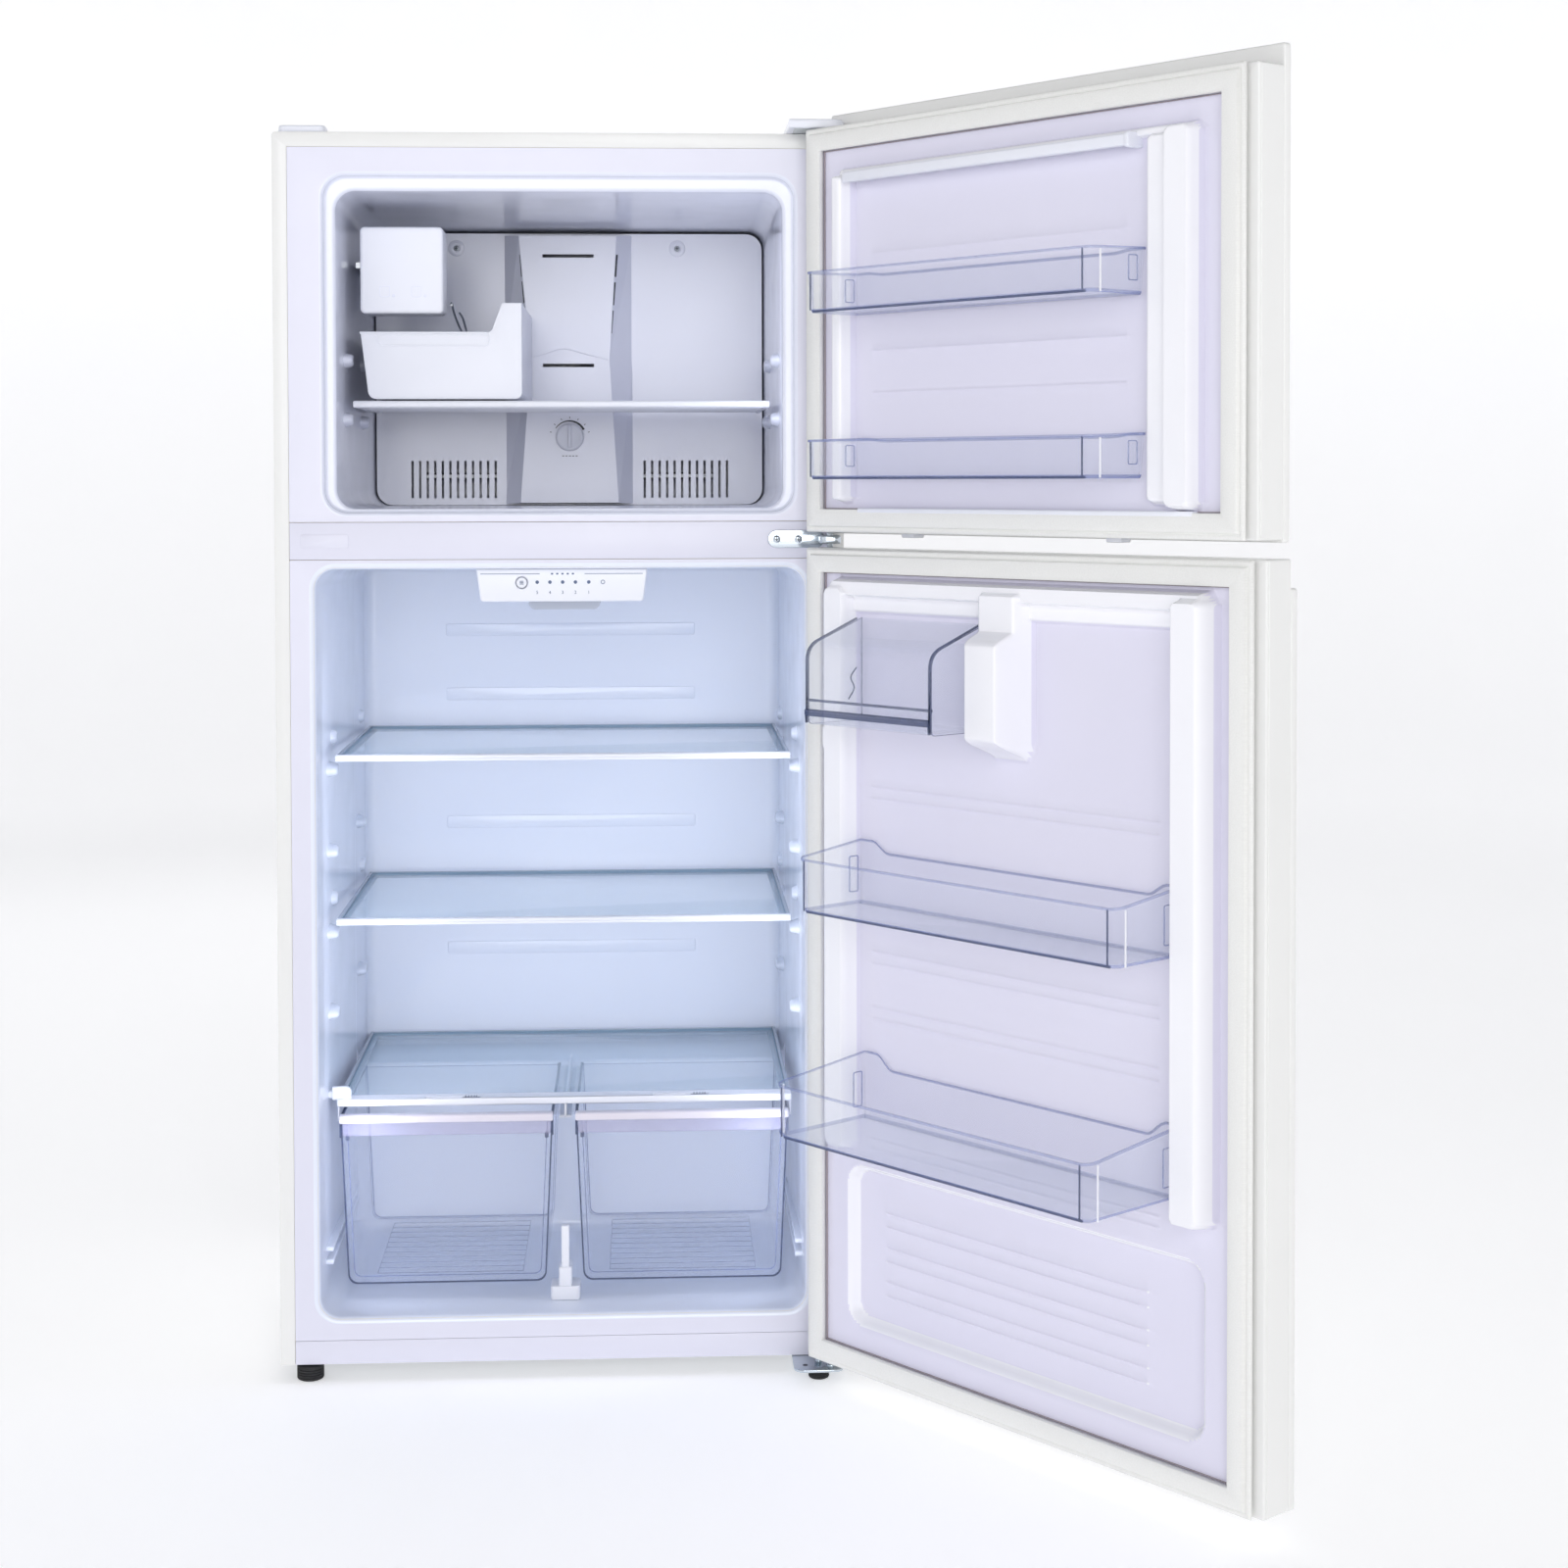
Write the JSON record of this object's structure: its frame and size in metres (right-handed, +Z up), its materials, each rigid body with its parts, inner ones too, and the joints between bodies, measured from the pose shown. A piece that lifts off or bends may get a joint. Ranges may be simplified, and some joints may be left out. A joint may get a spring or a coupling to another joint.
{
  "type": "top freezer refrigerator",
  "caption": "Upright two-door refrigerator with the freezer on top: lined insulated cabinet, hinged doors with clear bins, glass shelves, sliding crisper drawers and an ice maker.",
  "frame": {"origin": "middle of the floor area that the refrigerator covers with both doors open, at floor level under the feet", "axes": "+Z up, +X to the right seen from the front, +Y from the front to the back"},
  "size_m": [1.221, 1.2876, 1.687],
  "materials": {
    "white_enamel": "smooth satin paint on steel sheet",
    "white_moulding": "injection-moulded white plastic",
    "cabinet_liner": "glossy vacuum-formed polystyrene",
    "door_liner": "glossy vacuum-formed polystyrene",
    "gasket_vinyl": "soft extruded vinyl",
    "foam_core": "foamed polyurethane",
    "zinc_sheet": "zinc-coated steel sheet",
    "hinge_chrome": "bright chrome plate",
    "black_rubber": "moulded black rubber",
    "black_moulding": "moulded black plastic",
    "black_enamel": "black paint on pressed steel",
    "shelf_glass": "clear tempered sheet glass",
    "clear_moulding": "crystal-clear moulded polystyrene",
    "copper_coil": "drawn copper tube with thin fins",
    "aluminium_coil": "mill-finish aluminium"
  },
  "bodies": {
    "cabinet": {"outer_case": "white_enamel", "rear_panel": "zinc_sheet", "foam_insulation": "foam_core", "freezer_liner": "cabinet_liner", "fridge_liner": "cabinet_liner", "mullion_cover": "white_moulding", "base_rail": "white_moulding", "base_pan": "zinc_sheet", "machine_cover": "zinc_sheet", "compressor": "black_enamel", "condenser_coil": "copper_coil", "drain_pan": "black_moulding", "cord_gland": "black_moulding", "water_valve": "white_moulding", "evaporator_cover": "cabinet_liner", "evaporator_coil": "aluminium_coil", "ice_maker_housing": "white_moulding", "ice_mould": "aluminium_coil", "control_panel": "white_moulding", "lamp_lens": "clear_moulding", "crisper_cover_frame": "white_moulding", "crisper_cover_glass": "shelf_glass", "crisper_post": "white_moulding", "top_hinge": "hinge_chrome", "top_hinge_cover": "white_moulding", "hinge_hole_cap": "white_moulding", "center_hinge": "hinge_chrome", "bottom_hinge": "hinge_chrome"},
    "freezer_door": {"freezer_door_panel": "white_enamel", "freezer_door_liner": "door_liner", "freezer_door_gasket": "gasket_vinyl"},
    "fridge_door": {"fridge_door_panel": "white_enamel", "fridge_door_liner": "door_liner", "fridge_door_gasket": "gasket_vinyl", "dairy_bin": "clear_moulding"},
    "freezer_bin_upper": {"freezer_bin_upper": "clear_moulding"},
    "freezer_bin_lower": {"freezer_bin_lower": "clear_moulding"},
    "fridge_bin_middle": {"fridge_bin_middle": "clear_moulding"},
    "fridge_bin_lower": {"fridge_bin_lower": "clear_moulding"},
    "dairy_lid": {"dairy_lid": "clear_moulding"},
    "freezer_shelf": {"freezer_shelf": "white_moulding"},
    "ice_bin": {"ice_bin": "white_moulding"},
    "upper_shelf": {"upper_shelf_frame": "white_moulding", "upper_shelf_glass": "shelf_glass"},
    "lower_shelf": {"lower_shelf_frame": "white_moulding", "lower_shelf_glass": "shelf_glass"},
    "crisper_left": {"crisper_drawer_left": "clear_moulding"},
    "crisper_right": {"crisper_drawer_right": "clear_moulding"},
    "humidity_left": {"humidity_slider_left": "white_moulding"},
    "humidity_right": {"humidity_slider_right": "white_moulding"},
    "temperature_knob": {"temperature_knob": "white_moulding"},
    "set_button": {"set_button": "white_moulding"},
    "feeler_arm": {"feeler_arm": "zinc_sheet"},
    "evaporator_fan": {"evaporator_fan": "white_moulding"},
    "condenser_fan": {"condenser_fan": "black_moulding"},
    "rear_roller_left": {"rear_roller_left": "black_moulding"},
    "rear_roller_right": {"rear_roller_right": "black_moulding"},
    "front_foot_left": {"front_foot_left": "black_rubber"},
    "front_foot_right": {"front_foot_right": "black_rubber"}
  },
  "joints": [
    {"name": "freezer_door_hinge", "type": "hinge", "parent": "cabinet", "child": "freezer_door", "pos_m": [0.12413, -0.04747, 1.4], "axis": [0, 0, 1], "range_deg": [-127.6, 3.4]},
    {"name": "fridge_door_hinge", "type": "hinge", "parent": "cabinet", "child": "fridge_door", "pos_m": [0.12413, -0.04747, 0.6], "axis": [0, 0, 1], "range_deg": [-128.8, 2.2]},
    {"name": "freezer_bin_upper_lift", "type": "slide", "parent": "freezer_door", "child": "freezer_bin_upper", "axis": [0, 0, 1], "range_m": [0, 0.03]},
    {"name": "freezer_bin_lower_lift", "type": "slide", "parent": "freezer_door", "child": "freezer_bin_lower", "axis": [0, 0, 1], "range_m": [0, 0.03]},
    {"name": "fridge_bin_middle_lift", "type": "slide", "parent": "fridge_door", "child": "fridge_bin_middle", "axis": [0, 0, 1], "range_m": [0, 0.03]},
    {"name": "fridge_bin_lower_lift", "type": "slide", "parent": "fridge_door", "child": "fridge_bin_lower", "axis": [0, 0, 1], "range_m": [0, 0.03]},
    {"name": "dairy_lid_hinge", "type": "hinge", "parent": "fridge_door", "child": "dairy_lid", "pos_m": [0.22335, -0.2328, 1.025], "axis": [-0.6266, 0.7793, 0], "range_deg": [0, 70]},
    {"name": "freezer_shelf_slide", "type": "slide", "parent": "cabinet", "child": "freezer_shelf", "axis": [0, -1, 0], "range_m": [0, 0.25]},
    {"name": "ice_bin_slide", "type": "slide", "parent": "freezer_shelf", "child": "ice_bin", "axis": [0, -1, 0], "range_m": [0, 0.22]},
    {"name": "upper_shelf_slide", "type": "slide", "parent": "cabinet", "child": "upper_shelf", "axis": [0, -1, 0], "range_m": [0, 0.3]},
    {"name": "lower_shelf_slide", "type": "slide", "parent": "cabinet", "child": "lower_shelf", "axis": [0, -1, 0], "range_m": [0, 0.3]},
    {"name": "crisper_left_slide", "type": "slide", "parent": "cabinet", "child": "crisper_left", "axis": [0, -1, 0], "range_m": [0, 0.28]},
    {"name": "crisper_right_slide", "type": "slide", "parent": "cabinet", "child": "crisper_right", "axis": [0, -1, 0], "range_m": [0, 0.28]},
    {"name": "humidity_left_slide", "type": "slide", "parent": "cabinet", "child": "humidity_left", "axis": [-1, 0, 0], "range_m": [0, 0.048]},
    {"name": "humidity_right_slide", "type": "slide", "parent": "cabinet", "child": "humidity_right", "axis": [-1, 0, 0], "range_m": [0, 0.048]},
    {"name": "temperature_knob_turn", "type": "hinge", "parent": "cabinet", "child": "temperature_knob", "pos_m": [-0.23197, 0.40903, 1.268], "axis": [0, -1, 0], "range_deg": [-135, 135]},
    {"name": "set_button_press", "type": "slide", "parent": "cabinet", "child": "set_button", "axis": [0, 1, 0], "range_m": [0, 0.0015], "stiffness_N_per_m": 500},
    {"name": "feeler_arm_lift", "type": "hinge", "parent": "cabinet", "child": "feeler_arm", "pos_m": [-0.38847, 0.25103, 1.448], "axis": [0, -1, 0], "range_deg": [0, 35]},
    {"name": "evaporator_fan_spin", "type": "hinge", "parent": "cabinet", "child": "evaporator_fan", "pos_m": [-0.23247, 0.49103, 1.48], "axis": [0, 1, 0], "continuous": true},
    {"name": "condenser_fan_spin", "type": "hinge", "parent": "cabinet", "child": "condenser_fan", "pos_m": [-0.20247, 0.50603, 0.15], "axis": [1, 0, 0], "continuous": true},
    {"name": "rear_roller_left_spin", "type": "hinge", "parent": "cabinet", "child": "rear_roller_left", "pos_m": [-0.55047, 0.58303, 0.018], "axis": [1, 0, 0], "continuous": true},
    {"name": "rear_roller_right_spin", "type": "hinge", "parent": "cabinet", "child": "rear_roller_right", "pos_m": [0.08553, 0.58303, 0.018], "axis": [1, 0, 0], "continuous": true},
    {"name": "front_foot_left_turn", "type": "hinge", "parent": "cabinet", "child": "front_foot_left", "pos_m": [-0.57247, 0.00503, 0.01], "axis": [0, 0, 1], "continuous": true},
    {"name": "front_foot_right_turn", "type": "hinge", "parent": "cabinet", "child": "front_foot_right", "pos_m": [0.10853, -0.03097, 0.01], "axis": [0, 0, 1], "continuous": true}
  ]
}
